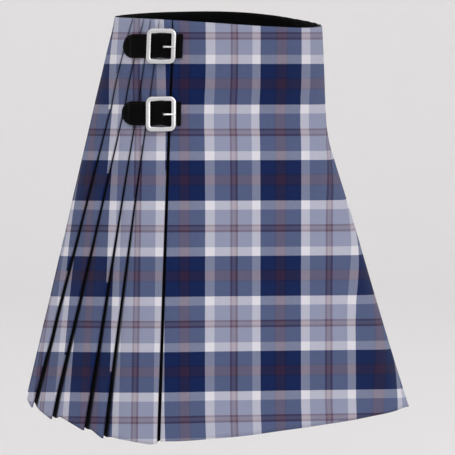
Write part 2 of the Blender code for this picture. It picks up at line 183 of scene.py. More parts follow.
# Where the tartan falls at each of the first folds, at the waist, the hip and the hem
FOLD_LAY = (
    (0.075, 0.013, -0.071),
    (-0.07, -0.200, -0.672),
    (-0.16, -0.296, -0.818),
    (-0.235, -0.425, -1.145),
    (-0.345, -0.57, -1.36),
    (-0.54, -0.74, -1.50),
    (-0.70, -0.93, -1.70),
)
FACE_SETTS = (0.160, 0.200, 0.225, 0.240, 0.260, 0.20)  # metres a sett on the first faces
PLEAT_SETTS = 0.25  # setts from one fold to the next behind
STRAIGHTENING = 8  # pleats over which the stripes come to run along the folds
ROW_START = -0.072  # height at which a sett begins behind
ROW_TILT = 0.008  # how the bands fall across the front, and how that grows downwards
ROW_FALL = 0.338
SIDE_FALL = 0.062
ROW_SOFTNESS = 0.02
FRONT_TURN = math.radians(35.3)  # the bands fall most this far round to the wearer's right
STRIPES = (
    # width in parts of a sett, colour
    (13.6, "navy"),
    (1.3, "ink"),
    (9.3, "plum"),
    (1.3, "ink"),
    (14.8, "navy"),
    (9.0, "white"),
    (15.0, "blue"),
    (2.2, "maroon"),
    (3.3, "mauve"),
    (2.2, "maroon"),
    (15.1, "blue"),
    (9.1, "white"),
)
YARNS = {
    "navy": (0.068, 0.132, 0.304),
    "ink": (0.065, 0.095, 0.235),
    "plum": (0.180, 0.124, 0.226),
    "blue": (0.553, 0.573, 0.667),
    "white": (0.845, 0.836, 0.866),
    "maroon": (0.365, 0.293, 0.368),
    "mauve": (0.482, 0.438, 0.494),
}
TWILL_PITCH = 0.0013
TWILL_SHOW = 0.30  # how much each yarn's share changes across a rib
YARN_WANDER = 0.006
BINDING_WIDTH = 0.012  # black tape inside the waist edge

# ---------------------------------------------------------------- straps and buckles
# Runs are metres from the buckle's centre towards the strap's tip, heights are metres out from
# the cloth, and rises are metres up the fastening.
STRAP_WIDTH = 0.036
STRAP_THICK = 0.0020
STRAP_LIFT = 0.0004
STRAP_CELL = 0.0016
STRAP_BEND = 0.0014
STRAP_EDGE = 0.0005
EDGE_STEPS = 2
EDGE_ANGLE = math.radians(50)
TIP_LENGTH = 0.024
TIP_STEPS = 14
TIP_TURN = 88
HOLE_RUN = -0.0044
HOLE_RADIUS = 0.0027
HOLE_PATCH = 0.0040  # half the square of leather that is cut anew round the hole
PATCH_MARGIN = 1.01
PRONG_LIFT = -0.0012
FITTING_SPAN = 0.020
SWELL_RUNS = (-0.060, -0.048, -0.030, -0.015, 0.0, 0.015, 0.030, 0.050, 0.074)
SWELL_RISES = (-0.018, -0.009, 0.0, 0.009, 0.0192)
SWELL_SPARE = 0.00012
STRAP_RISE = (
    # run, height of the strap's middle
    (-0.0250, 0.00195),
    (-0.0165, 0.00195),
    (-0.0090, 0.00560),
    (-0.0032, 0.00900),
    (0.0000, 0.00930),
    (0.0032, 0.00900),
    (0.0095, 0.00620),
    (0.0150, 0.00390),
    (0.0200, 0.00365),
    (0.0520, 0.00365),
    (0.0560, 0.00195),
)
BAR_RADIUS = 0.0014
BAR_HEIGHT = 0.0048
BAR_SIDES = 20
MERGE = 0.00001
FRAME_LENGTH = 0.0462
FRAME_HEIGHT = 0.0526
FRAME_BAR = 0.0070
FRAME_THICK = 0.0026
FRAME_LEVEL = 0.0063
FRAME_CORNER = 0.0060
FRAME_SQUARENESS = 2.7
FRAME_SIDES = 20
CORNER_STEPS = 9
CLEARANCE = 0.0003  # between leather, metal and cloth that lie together
TAB_WIDTH = 0.029
TAB_THICK = 0.0014
TAB_LENGTH = 0.050
TAB_RETURN = 0.0095
TAB_TURNS = (-80, -270)  # degrees round the centre bar, from the strap's tip side upwards
TAB_DIP = 0.0008
TAB_SLOT = 0.0048
SLOT_REACH = 0.0058
TAB_STEPS = 12
TAB_CELLS = 5
PRONG_WIDTH = 0.0034
PRONG_THICK = 0.0015
PRONG_SIDES = 14
PRONG_SQUARENESS = 2.2
PRONG_TURNS = (80, -180)
EYE_STEPS = 17
CURVE_STEPS = 5
PRONG_TONGUE = (
    # run, height of the prong's middle
    (-0.0036, 0.0063),
    (-0.0044, 0.0090),
    (-0.0068, 0.0104),
    (-0.0130, 0.0096),
    (-0.0190, 0.0087),
    (-0.0235, 0.0085),
)
PRONG_TAPER = (1.0, 0.72)
TIP_ROUNDING = (0.97, 0.86, 0.6, 0.0)
STITCH_INSET = 0.0031
STITCH_PITCH = 0.0034
STITCH_LENGTH = 0.0023
STITCH_RADIUS = 0.00032
STITCH_TURN_STEPS = 24
UPPER_ROOT = ((-0.0310, 0.00195),)
LOWER_ROOT = ((-0.0285, 0.00195),)
HIDDEN_ROOT = ((-0.0600, -0.0007), (-0.0425, 0.00195))  # comes out from under a pleat
FASTENINGS = (
    # name, (side: 1 wearer's right and -1 left, arc, height, lean), root and tip of the strap
    ("upper", (1, 0.1683, -0.0447, 0.0), UPPER_ROOT, 0.0735),
    ("lower", (1, 0.1648, -0.1459, 0.055), LOWER_ROOT, 0.0705),
    ("left", (-1, 0.2520, -0.0560, 0.0), HIDDEN_ROOT, 0.0735),
)
PLEAT_STITCH_SHARES = (0.02, 0.23)
PLEAT_STITCH_PITCH = 0.0062
PLEAT_STITCH_LENGTH = 0.0016
PLEAT_STITCH_RADIUS = 0.00022

# ---------------------------------------------------------------- colours and grain
# Colours are amounts of light, and pairs of them are mixed by a noise.
# Painted shade: the black mixed over the tartan between and inside the pleats and beside the
# apron's free edge. The same black is also the binding tape's own colour inside the waist edge.
PAINTED_SHADE_AND_BINDING_BLACK = (0.0016, 0.0018, 0.0035, 1.0)
COTTON_TONES = ((0.0012, 0.0014, 0.002, 1.0), (0.003, 0.0034, 0.004, 1.0))
LEATHER_TONES = ((0.0012, 0.0012, 0.0013, 1.0), (0.004, 0.004, 0.004, 1.0))
WORN_LEATHER = (0.018, 0.017, 0.016, 1.0)
SILVER_TONES = ((0.68, 0.685, 0.695, 1.0), (0.75, 0.755, 0.765, 1.0))
BLACK_THREAD = (0.015, 0.015, 0.016)
NAVY_THREAD = (0.004, 0.007, 0.03)
THREAD_HOLLOW_SHADE = 0.5  # painted shade in the twist's hollows, as a part of the thread's colour
# Noises: scale, for a sett on the weave or a metre on a piece, and detail
WANDER_NOISE = (240.0, 2.0)
SLUB_NOISE = (60.0, 3.0)
NAP_NOISE = (900.0, 2.0)
COTTON_NOISE = (300.0, 3.0)
PORE_NOISE = (160.0, 4.0)
POLISH_NOISE = (420.0, 4.0)
GRAIN_SCALE = 900.0
TWIST_SCALE = 900.0
# Straight lines from a noise to a value: slope and start
SLUB_TONE = (0.10, 0.95)
LEATHER_ROUGHNESS = (0.2, 0.38)
SILVER_ROUGHNESS = (0.12, 0.15)
# Bumps: strength and depth in metres
TWILL_BUMP = (0.35, 0.0004)
COTTON_BUMP = (0.3, 0.0003)
LEATHER_BUMP = (0.6, 0.0003)
THREAD_BUMP = (0.3, 0.0001)
SILVER_BUMP = (0.02, 0.0002)
GRAIN_SHOW = 0.2
CREASE_INSET = 0.0017  # the line pressed along the leather's edge
CREASE_WIDTH = 0.0004
EDGE_WEAR = 0.0012
# From the tone that the eye reads to the amount of light
TONE_OFFSET = 0.055
TONE_POWER = 2.4

# ---------------------------------------------------------------- studio
CAMERA_TURN = math.radians(35.3)
CAMERA_RISE = math.radians(5.4)
CAMERA_AWAY = 3.0
CAMERA_AIM = Vector((0.021, 0.0, -0.332))
CAMERA_LENS = 148.6
FLOOR_LEVEL = -1.08
STAGE_RADIUS = 7.0
STAGE_HEIGHT = 5.0
STAGE_CURVE = 2.2
STAGE_CURVE_STEPS = 10
STAGE_SIDES = 72
STAGE_MERGE = 0.001
FLOOR_TONE = (0.785, 0.775, 0.78, 1.0)
WALL_TONE = (0.876, 0.862, 0.868, 1.0)
SKY_TONE = (1.0, 0.995, 0.99, 1.0)
LIGHT_AIM = Vector((0, 0, -0.3))
LIGHTS = (
    # name, place, side of its square in metres, watts
    ("key", (-2.2, -3.4, 1.9), 2.4, 45),
    ("fill", (3.2, -2.0, 1.0), 2.6, 20),
)


# ---------------------------------------------------------------- body outline
def power(values, exponent):
    """Raise to a power and keep the sign."""
    return np.sign(values) * np.abs(values) ** exponent


def section_outline(half_width, front_depth, back_depth, squareness):
    """Half-round outline with its own depth in front and behind, at every angle."""
    across = half_width * power(np.cos(ANGLES), 2 / squareness)
    depth = np.where(np.sin(ANGLES) < 0, front_depth, back_depth)
    along = depth * power(np.sin(ANGLES), 2 / squareness)
    return np.stack((across, along), axis=1)


OUTLINES = [section_outline(*row) for row in SECTIONS]
WAIST_LINE = WAIST_RISE * np.sin(ANGLES) + WAIST_TWIST * np.sin(2 * ANGLES) - WAIST_DROP
HEM_LINE = HEM_RISE * np.sin(ANGLES) - HEM_SIDE_DROP * np.cos(2 * ANGLES) - LENGTH


def body_plan(share):
    """Outline in plan at a share for each angle: curved down to the hip and straight below."""
    above = np.clip(share / HIP, 0, 1)
    below = np.maximum((share - HIP) / (1 - HIP), 0)
    blend = (
        (1 - above) * (1 - 2 * above),
        4 * above * (1 - above),
        above * (2 * above - 1) * (1 - below),
        below,
    )
    return sum(part[:, None] * outline for part, outline in zip(blend, OUTLINES))


def left_swell(arcs, share):
    """How far the cloth stands out at the wearer's left side."""
    shares, swells = zip(*LEFT_SWELL)
    near = np.clip(np.abs(arcs - LEFT_SIDE) / LEFT_SPREAD, 0, 1)
    return np.interp(share, shares, swells) * (1 + np.cos(math.pi * near)) / 2


class Level:
    """One line round the garment, at a share of its length or at a height."""

    def __init__(self, share=None, height=None):
        if share is None:
            share = (WAIST_LINE - height) / (WAIST_LINE - HEM_LINE)
        share = share * np.ones(len(ANGLES))
        plan = sum(
            weight * body_plan(share + shift * HIP_SOFTNESS) for shift, weight in SOFTENING
        )
        height = WAIST_LINE * (1 - share) + HEM_LINE * share
        lengths = np.linalg.norm(np.diff(plan, axis=0), axis=1)
        self.arcs = np.concatenate(((0.0,), np.cumsum(lengths)))
        self.girth = self.arcs[-1]
        tangents = np.gradient(plan, axis=0)
        tangents /= np.linalg.norm(tangents, axis=1)[:, None]
        self.normals = np.column_stack((-tangents[:, 1], tangents[:, 0]))
        swell = left_swell(self.arcs - self.girth, share)
        self.points = np.column_stack((plan + self.normals * swell[:, None], height))

    def places(self, arcs, out):
        """Points at arcs, moved straight out from the body."""
        arcs = np.asarray(arcs) % self.girth
        points = [np.interp(arcs, self.arcs, self.points[:, axis]) for axis in range(3)]
        normals = [np.interp(arcs, self.arcs, self.normals[:, axis]) for axis in range(2)]
        return np.column_stack(
            (points[0] + normals[0] * out, points[1] + normals[1] * out, points[2])
        )

    def at(self, arc, out=0.0):
        """One point at an arc."""
        return Vector(self.places((arc,), out)[0])


def eased(places, stations, values, softness):
    """Straight between stations, with the corners eased."""
    return sum(
        weight * np.interp(places + shift * softness, stations, values)
        for shift, weight in SOFTENING
    )


def between(stations, share):
    """Value at a share, from its values at the waist, the hip and the hem."""
    return float(np.interp(share, STATIONS, stations))


def step_in(share):
    """How far each face ends below the next fold: stitched down to the hip, open at the hem."""
    return between((STEP_STITCHED, STEP_STITCHED, STEP_OPEN), share)


def free_share(share):
    """Part of the free length above a share: 0 at its start, 1 at the hem."""
    return max((share - HANG_START) / (1 - HANG_START), 0.0)


def hang(share):
    """How freely the cloth hangs: not at all above the hip, fully at the hem."""
    return free_share(share) ** HANG_GROWTH


# ---------------------------------------------------------------- pleats
def unevenness(index):
    """A pleat's own small difference, from -1 to 1."""
    return sum(weight * math.sin(index * turn + start) for turn, start, weight in UNEVEN_TURNS)


def fold_arc(index, share, level):
    """Arc of a pleat's fold edge."""
    last_listed = len(FIRST_FOLDS) - 1
    if index <= last_listed:
        return between(FIRST_FOLDS[index], share)
    start = between(FIRST_FOLDS[last_listed], share)
    end = level.girth - between(APRON_PRESSED_EDGE, share)
    even = start + (end - start) * (index - last_listed) / REGULAR_PLEATS
    if index < PLEATS:
        even += UNEVEN_PLEATS * unevenness(index) * hang(share)
    return even


def inner_layer(index, share, level):
    """Where a pleat's hidden layers lie: its fold, its depth and how far its face sinks there."""
    fold = fold_arc(index, share, level)
    width = fold_arc(index + 1, share, level) - fold
    return fold, TUCK * width, TUCK * step_in(share)


def inner_height(part, sink, share):
    """Height of the innermost layer at a part of the pleat's depth."""
    start = -step_in(share)
    return start + part * (-2 * LAYER - sink - start)


def fold_setts(index, share):
    """Where the tartan falls at a pleat's fold."""
    last_listed = len(FOLD_LAY) - 1
    if index <= last_listed:
        return between(FOLD_LAY[index], share)
    further = index - last_listed
    straight = max(0.0, 1 - further / STRAIGHTENING)
    at_hip = FOLD_LAY[last_listed][1]
    lean = between(FOLD_LAY[last_listed], share) - at_hip
    return at_hip + straight * lean - PLEAT_SETTS * further


def face_sett(index):
    """Metres a sett on a pleat's face."""
    return FACE_SETTS[index] if index < len(FACE_SETTS) else SETT


def columns(arcs, heights, setts, shadow):
    """Columns of cloth: arc, height, setts and how deep in painted shadow each lies."""
    parts = np.broadcast_arrays(arcs, heights, setts, shadow)
    return np.stack(parts, axis=1).astype(float)


def round_turn(arc, height, degrees):
    """Arcs and heights round one turn of the cloth, without its first point."""
    turns = np.radians(np.linspace(*degrees, TURN_STEPS + 1)[1:])
    radius = LAYER / 2
    return arc + radius * np.cos(turns), height + radius * np.sin(turns)


def shadow_reach(share):
    """How far from a fold the face below it is painted with the fold's shadow."""
    return REACH_STITCHED + REACH_OPEN * max((share - HIP) / (1 - HIP), 0.0) ** REACH_GROWTH


def shadow_depth(share):
    """How dark the shade painted between two faces is: they lie flat together at the waist."""
    return float(np.interp(share, SHADOW_SHARES, SHADOW_DEPTHS))


def inner_columns(index, share, level, start, end, setts):
    """The innermost layer of a pleat, between two parts of its depth, painted black as shade."""
    fold, depth, sink = inner_layer(index, share, level)
    parts = np.linspace(start, end, HIDDEN_STEPS + 1)
    arcs = fold + parts * depth
    return columns(arcs, inner_height(parts, sink, share), setts - (arcs - arcs[0]) / SETT, 1.0)


def tucked_fold(fold, deep, sink, hidden_setts, middle_setts, setts, dark):
    """From the innermost layer: the hidden turn and the middle layer, painted black as shade, and
    the turn at the fold, which comes out of painted shade as deep as dark.
    """
    turn = LAYER / 2
    hidden = columns(*round_turn(deep, -3 * turn - sink, HIDDEN_TURN), hidden_setts, 1.0)
    arcs = fold + turn + HIDDEN_PARTS * (deep - fold - turn)
    middle = columns(arcs, -LAYER - sink * HIDDEN_PARTS, middle_setts, 1.0)
    shade = dark * np.linspace(1, 0, TURN_STEPS + 1)[1:] ** SHADE_FALL
    edge = columns(*round_turn(fold + turn, -turn, FOLD_TURN), setts, shade)
    return np.concatenate((hidden, middle, edge))


def pleat_face(index, share, level):
    """The face from its fold's turn to the next fold, with shade painted darker where that fold
    covers it.
    """
    fold, after = (fold_arc(number, share, level) for number in (index, index + 1))
    dark = shadow_depth(share)
    reach = shadow_reach(share)
    part, part_dark = EDGE_SHADE
    arcs = np.linspace(fold + LAYER / 2, after - reach, FACE_STEPS)[1:]
    arcs = np.concatenate((arcs, (after - part * reach, after)))
    parts = (arcs - fold) / (after - fold)
    shade = np.zeros(len(arcs))
    # Painted shade at the face's end, under the next fold.
    shade[-2:] = (part_dark * dark, dark)
    setts = fold_setts(index, share) - (arcs - fold) / face_sett(index)
    bow = WIDE_BOW if index == WIDE_PLEAT else FACE_BOW
    return columns(arcs, -step_in(share) * parts**bow, setts, shade)


def pleat_columns(index, share, level, start, setts):
    """One pleat after its seam or the face before it: two hidden layers, the fold and the face."""
    fold, depth, sink = inner_layer(index, share, level)
    inner = inner_columns(index, share, level, start, 1.0, setts)[1:]
    tucked = inner[-1, 2]
    pressed = fold_setts(index, share)
    middle = pressed + (tucked - pressed) * HIDDEN_PARTS
    dark = shadow_depth(share)
    turned = tucked_fold(fold, fold + depth, sink, tucked, middle, pressed, dark)
    return np.concatenate((inner, turned, pleat_face(index, share, level)))


def pleats_section(first, last, share, level):
    """From the seam inside one pleat, round to the seam inside another."""
    start = inner_columns(first, share, level, SEAM_SHARE, 1.0, fold_setts(first, share))[:1]
    start[0, 0] += SEAM_ARC
    parts = [start]
    begin = SEAM_SHARE
    for index in range(first, last):
        parts.append(pleat_columns(index, share, level, begin, parts[-1][-1, 2]))
        begin = 0.0
    return parts


def pleats_right_section(share, level):
    """From the seam with the under apron to the seam at the centre of the back."""
    parts = pleats_section(0, SEAM_FOLD, share, level)
    setts = parts[-1][-1, 2]
    parts.append(inner_columns(SEAM_FOLD, share, level, 0.0, SEAM_SHARE, setts)[1:])
    return np.concatenate(parts)


def pleats_left_section(share, level):
    """From the seam at the centre of the back to the seam hidden behind the apron's edge."""
    parts = pleats_section(SEAM_FOLD, PLEATS, share, level)
    edge, step, setts = parts[-1][-1, 0], step_in(share), parts[-1][-1, 2]
    arcs = np.linspace(edge, edge + SEAM_SHARE * APRON_TUCK, HIDDEN_STEPS + 1)[1:]
    # The hidden end towards the seam behind the apron's edge is painted black as shade.
    parts.append(columns(arcs, -step, setts - (arcs - edge) / SETT, 1.0))
    return np.concatenate(parts)


# ---------------------------------------------------------------- aprons and lining
def apron_setts(arcs, share):
    """Where the tartan falls on the apron."""
    line = [eased(share, LAY_LEVELS, arcs_there, LAY_SOFTNESS) for _, arcs_there in APRON_LAY]
    return np.interp(arcs, line, [setts for setts, _ in APRON_LAY])


def over_apron_section(share, level):
    """From its hidden seam, round the pressed edge and across the front to the free edge."""
    step = step_in(share)
    turn = LAYER / 2
    free = between(APRON_FREE_EDGE, share)
    edge = -between(APRON_PRESSED_EDGE, share)
    deep = edge + APRON_TUCK
    seam = edge + SEAM_SHARE * APRON_TUCK + SEAM_ARC
    at_edge = float(apron_setts(edge, share))
    at_deep = at_edge + APRON_TUCK / SETT
    arcs = np.linspace(seam, deep, HIDDEN_STEPS + 1)
    # The tucked part behind the pressed edge is painted black as shade, and the pressed edge's turn
    # comes out of painted shade.
    inner = columns(arcs, -step, at_deep + (deep - arcs) / SETT, 1.0)
    middle = at_edge + (turn + HIDDEN_PARTS * (APRON_TUCK - turn)) / SETT
    turned = tucked_fold(edge, deep, step - 2 * LAYER, at_deep, middle, at_edge, 1.0)
    arcs = np.linspace(edge + turn, free, APRON_COLUMNS)[1:]
    front = columns(arcs, 0.0, apron_setts(arcs, share), 0.0)
    return np.concatenate((inner, turned, front))


def under_apron_end(share):
    """Arc of the under apron's far edge, inside the wearer's left hip."""
    return APRON_TUCK + UNDER_APRON_SHORT - between(APRON_PRESSED_EDGE, share)


def under_apron_section(share, level):
    """From its edge at the left hip, behind the front, to its seam inside the first pleat."""
    arcs = np.linspace(under_apron_end(share), fold_arc(0, share, level), UNDER_COLUMNS)
    # Painted shade: the strip beside the apron's free edge is black, fading a little way behind it.
    hidden = between(APRON_FREE_EDGE, share) - arcs
    shade = np.clip(UNDER_SHADE - hidden / UNDER_SHADE_REACH, 0, 1)
    front = columns(arcs, -step_in(share), apron_setts(arcs, share), shade)
    last = inner_columns(0, share, level, 0.0, SEAM_SHARE, front[-1, 2])[1:]
    return np.concatenate((front, last))


def lining_section(share, level):
    """Round the inside of the pleats and of the under apron."""
    start = under_apron_end(share) + LINING_SHORT
    end = level.girth + under_apron_end(share) - UNDER_APRON_SHORT - LINING_SHORT
    height = -(2 * LAYER + TUCK * step_in(share) + CLOTH / 2 + LINING_EASE + LINING / 2)
    arcs = np.linspace(start, end, LINING_COLUMNS)
    return columns(arcs, height, arcs / SETT, 0.0)


# ---------------------------------------------------------------- cloth meshes
def waves(arcs, girth, share):
    """How far the hanging cloth waves out and in."""
    turns = 2 * math.pi * arcs / girth
    return hang(share) * sum(high * np.sin(count * turns + start) for count, high, start in WAVES)


def row_setts(places):
    """Setts down the cloth: level behind, and falling a little across the front and right."""
    x, y, z = places[..., 0], places[..., 1], places[..., 2]
    forward = -math.sin(FRONT_TURN) * x - math.cos(FRONT_TURN) * y
    forward = (forward + np.sqrt(forward**2 + ROW_SOFTNESS**2)) / 2
    aside = np.maximum(math.sin(FRONT_TURN) * y - math.cos(FRONT_TURN) * x, 0)
    below = ROW_START - z
    below = below - SIDE_FALL * aside * below**2
    return (below + forward * (ROW_TILT + ROW_FALL * below)) / SETT


def tip_flare(arcs, share):
    """How far the apron's lower corner swings out and down."""
    edge = -between(APRON_PRESSED_EDGE, share)
    near = np.clip(1 - (arcs - edge) / TIP_REACH, 0, 1)
    return TIP_FLARE * near**FLARE_CURVE * hang(share) ** FLARE_GROWTH


def no_flare(arcs, share):
    """Cloth that hangs straight."""
    return 0.0 * arcs


def pleat_sag(arcs, share):
    """How much lower the first pleats hang."""
    places, drops = zip(*PLEAT_SAG)
    return np.interp(arcs, places, drops) * hang(share)


def lay_cloth(section, shares, flare):
    """Places, setts and painted shadow of a cloth piece at each level."""
    rows = []
    tones = []
    for share in shares:
        level = Level(share=share)
        arcs, heights, setts, shadow = section(share, level).T
        swing = flare(arcs, share)
        out = heights + waves(arcs, level.girth, share) + swing
        places = level.places(arcs, out)
        places[:, 2] -= swing + pleat_sag(arcs, share)
        sunk = np.clip(-heights / STEP_OPEN, 0, 1)
        places[:, 2] += HIDDEN_HEM_RISE * sunk * free_share(share)
        rows.append(places)
        tones.append(np.column_stack((setts, shadow)))
    return np.array(rows), np.array(tones)


def mesh_from(name, bm, smooth=True):
    """A mesh from a bmesh, which it frees."""
    mesh = bpy.data.meshes.new(name)
    bm.to_mesh(mesh)
    bm.free()
    mesh.polygons.foreach_set("use_smooth", np.full(len(mesh.polygons), smooth))
    return mesh


def vertex_places(mesh):
    """Where the vertices are, one row each."""
    flat = np.empty(len(mesh.vertices) * 3)
    mesh.vertices.foreach_get("co", flat)
    return flat.reshape(-1, 3)


def grid_mesh(name, places):
    """A grid through rows of places, with the row and column of each vertex."""
    rows, count = places.shape[:2]
    bm = bmesh.new()
    bmesh.ops.create_grid(bm, x_segments=count - 1, y_segments=rows - 1, size=1.0)
    mesh = mesh_from(name, bm)
    spread = (vertex_places(mesh) + 1) / 2
    column = np.rint(spread[:, 0] * (count - 1)).astype(int)
    row = np.rint(spread[:, 1] * (rows - 1)).astype(int)
    mesh.vertices.foreach_set("co", places[row, column].ravel())
    mesh.update()
    return mesh, row, column


def weave_map(mesh, across, down):
    """The cloth's own map: a place on the weave for each vertex."""
    corners = np.empty(len(mesh.loops), int)
    mesh.loops.foreach_get("vertex_index", corners)
    layer = mesh.uv_layers.new(name="weave")
    layer.data.foreach_set("uv", np.column_stack((across, down))[corners].ravel())


def tone_map(mesh, name, values):
    """A named value for each vertex."""
    layer = mesh.attributes.new(name, "FLOAT", "POINT")
    layer.data.foreach_set("value", values)


def thicken(piece, thickness, inside=0):
    """Give a sheet its wall. The side towards the body takes the finish that is named inside."""
    wall = piece.modifiers.new("thickness", "SOLIDIFY")
    wall.thickness = thickness
    wall.offset = 0.0
    wall.use_even_offset = True
    wall.material_offset = inside
    wall.material_offset_rim = inside


def put(name, mesh, finishes):
    """One object in the scene with its finishes."""
    piece = bpy.data.objects.new(name, mesh)
    for finish in finishes:
        mesh.materials.append(finish)
    bpy.context.scene.collection.objects.link(piece)
    return piece


def cloth(name, section, finishes, shares, thickness=CLOTH, flare=no_flare):
    """A cloth piece from its section at each level."""
    places, tones = lay_cloth(section, shares, flare)
    mesh, row, column = grid_mesh(name, places)
    weave_map(mesh, tones[row, column, 0], row_setts(places)[row, column])
    # The painted shadow for each vertex, which darkens the tartan's colour.
    tone_map(mesh, "shadow", tones[row, column, 1])
    tone_map(mesh, "below_waist", np.array(shares)[row] * LENGTH)
    piece = put(name, mesh, finishes)
    thicken(piece, thickness, inside=1)
    hem = np.linalg.norm(np.diff(places[-1], axis=0), axis=1).sum()
    return piece, hem, wall_area(places)


def wall_area(places):
    """Area of one side of a grid of places."""
    across = np.diff(places, axis=1)[:-1]
    down = np.diff(places, axis=0)[:, :-1]
    return float(np.linalg.norm(np.cross(across, down), axis=2).sum())


# ---------------------------------------------------------------- straps and buckles
class Fitting:
    """Where one fastening sits: a point of the body and its own directions there.

    Leather and metal are straight from top to bottom, and lifted clear of any hollow of the body.
    The lean is how far it moves towards the front for each metre up.
    """

    def __init__(self, side, arc, height, lean):
        self.side = side
        self.arc = arc
        self.height = height
        self.lean = lean
        self.line = Level(height=height)
        rise = FITTING_SPAN
        self.up = (self.bare(0.0, rise) - self.bare(0.0, -rise)).normalized()
        along = (self.bare(rise, 0.0) - self.bare(-rise, 0.0)).normalized()
        self.out = (along.cross(self.up) * -side).normalized()
        self.along = self.out.cross(self.up) * side
        self.lifts = [self.lift(run) for run in SWELL_RUNS]
        self.centre = self.line.at(side * arc, self.lift(0.0))

    def bare(self, run, rise):
        """Point of the body itself."""
        arc = self.arc + run - self.lean * rise
        return Level(height=self.height + rise).at(self.side * arc)

    def swell(self, run, rise):
        """How far the body stands out from a straight line up through its middle."""
        return (self.bare(run, rise) - self.bare(run, 0.0) - self.up * rise).dot(self.out)

    def lift(self, run):
        """How far straight leather stands off the body's line to clear its swell."""
        return SWELL_SPARE + max(self.swell(run, rise) for rise in SWELL_RISES)

    def on_body(self, runs, outs, rises):
        """Points that follow the curve of the body round it."""
        outs = outs + np.interp(runs, SWELL_RUNS, self.lifts)
        flat = self.line.places(self.side * (self.arc + runs), outs)
        flat[:, 2] += outs * self.out.z
        return flat + np.outer(rises, self.up)

    def in_plane(self, runs, outs, rises):
        """Points on the flat plane of the buckle."""
        moved = np.outer(runs, self.along) + np.outer(outs, self.out) + np.outer(rises, self.up)
        return np.array(self.centre) + moved

    def matrix(self, out):
        """Placement of a flat shape: its X along the strap, its Y up, its Z outwards."""
        across = self.up.cross(self.out)
        turn = Matrix((across, self.up, self.out)).transposed().to_4x4()
        return Matrix.Translation(self.centre + self.out * out) @ turn


def spaced(start, end, spacing):
    """Even places from one to the other."""
    return np.linspace(start, end, math.ceil((end - start) / spacing) + 1)


def spaced_past(start, end, middle):
    """Even places with four cells across the prong's hole."""
    before = spaced(start, middle - HOLE_PATCH, STRAP_CELL)
    patch = np.linspace(middle - HOLE_PATCH, middle + HOLE_PATCH, 5)
    after = spaced(middle + HOLE_PATCH, end, STRAP_CELL)
    return np.concatenate((before[:-1], patch, after[1:]))


def flat_strap(root, tip):
    """The strap laid flat: X along it and Y up, square still at the tip."""
    radius = STRAP_WIDTH / 2
    turns = np.radians(np.linspace(0, TIP_TURN, TIP_STEPS + 1))[1:]
    straight = spaced_past(root, tip - TIP_LENGTH, HOLE_RUN)
    runs = np.concatenate((straight, tip - TIP_LENGTH + TIP_LENGTH * np.sin(turns)))
    rises = spaced_past(-radius, radius, PRONG_LIFT - STRAP_LIFT)
    bm = bmesh.new()
    bmesh.ops.create_grid(bm, x_segments=len(runs) - 1, y_segments=len(rises) - 1, size=1.0)
    for vert in bm.verts:
        column = round((vert.co.x + 1) / 2 * (len(runs) - 1))
        row = round((vert.co.y + 1) / 2 * (len(rises) - 1))
        vert.co = (runs[column], rises[row], 0.0)
    return bm


def punch(bm, run, rise):
    """Open the prong's round hole inside its square of the grid."""
    reach = HOLE_PATCH * PATCH_MARGIN

    def inside(point):
        """Whether a point is in the square."""
        return abs(point.x - run) < reach and abs(point.y - rise) < reach

    cells = [face for face in bm.faces if inside(face.calc_center_median())]
    bmesh.ops.delete(bm, geom=cells, context="FACES")
    open_edges = [edge for edge in bm.edges if edge.is_boundary]
    rim = [edge for edge in open_edges if all(inside(vert.co) for vert in edge.verts)]
    place = Matrix.Translation((run, rise, HOLE_PATCH))  # lifted while it is bridged
    ring = bmesh.ops.create_circle(bm, segments=len(rim), radius=HOLE_RADIUS, matrix=place)["verts"]
    edges = {edge for vert in ring for edge in vert.link_edges}
    bmesh.ops.bridge_loops(bm, edges=rim + list(edges))
    for vert in ring:
        vert.co.z = 0.0


def strap_heights(runs, root):
    """Height of the strap's middle along it, eased round its bends."""
    line_runs, line_heights = zip(*(root + STRAP_RISE))
    return eased(runs, line_runs, line_heights, STRAP_BEND)


def strap_narrowing(runs, tip):
    """Share of the strap's half width at each run: full, and round at the tip."""
    into = np.clip((runs - tip + TIP_LENGTH) / TIP_LENGTH, 0, 1)
    return np.sqrt(1 - into**2)


def leather_strap(name, fitting, root, tip, leather):
    """Leather strap that passes under the frame's sides and over its centre bar."""
    radius = STRAP_WIDTH / 2
    bm = flat_strap(root[0][0], tip)
    punch(bm, HOLE_RUN, PRONG_LIFT - STRAP_LIFT)
    mesh = mesh_from(name, bm, smooth=False)
    runs, rises = vertex_places(mesh).T[:2]
    rises = rises * strap_narrowing(runs, tip)
    into = np.maximum(runs - tip + TIP_LENGTH, 0) * radius / TIP_LENGTH
    places = fitting.on_body(runs, strap_heights(runs, root), STRAP_LIFT + rises)
    mesh.vertices.foreach_set("co", places.ravel())
    mesh.update()
    tone_map(mesh, "from_edge", radius - np.hypot(into, rises))
    return leather_piece(name, mesh, STRAP_THICK, leather)


def eye(turns, radius):
    """Runs and heights round the centre bar."""
    turns = np.radians(np.linspace(*turns, EYE_STEPS))
    return np.column_stack((radius * np.cos(turns), BAR_HEIGHT + radius * np.sin(turns)))


def tab_path():
    """Runs and heights along the tab: in under the strap, round the bar and back."""
    low = CLOTH / 2 + CLEARANCE + TAB_THICK / 2
    runs = (*np.linspace(TAB_LENGTH, TAB_RETURN, TAB_STEPS), SLOT_REACH)
    under = [(run, low) for run in runs]
    turned = eye(TAB_TURNS, BAR_RADIUS + CLEARANCE + TAB_THICK / 2)
    back = ((TAB_RETURN / 2, BAR_HEIGHT + TAB_DIP), (TAB_RETURN, low + TAB_THICK + CLEARANCE))
    return np.concatenate((under, turned, back))


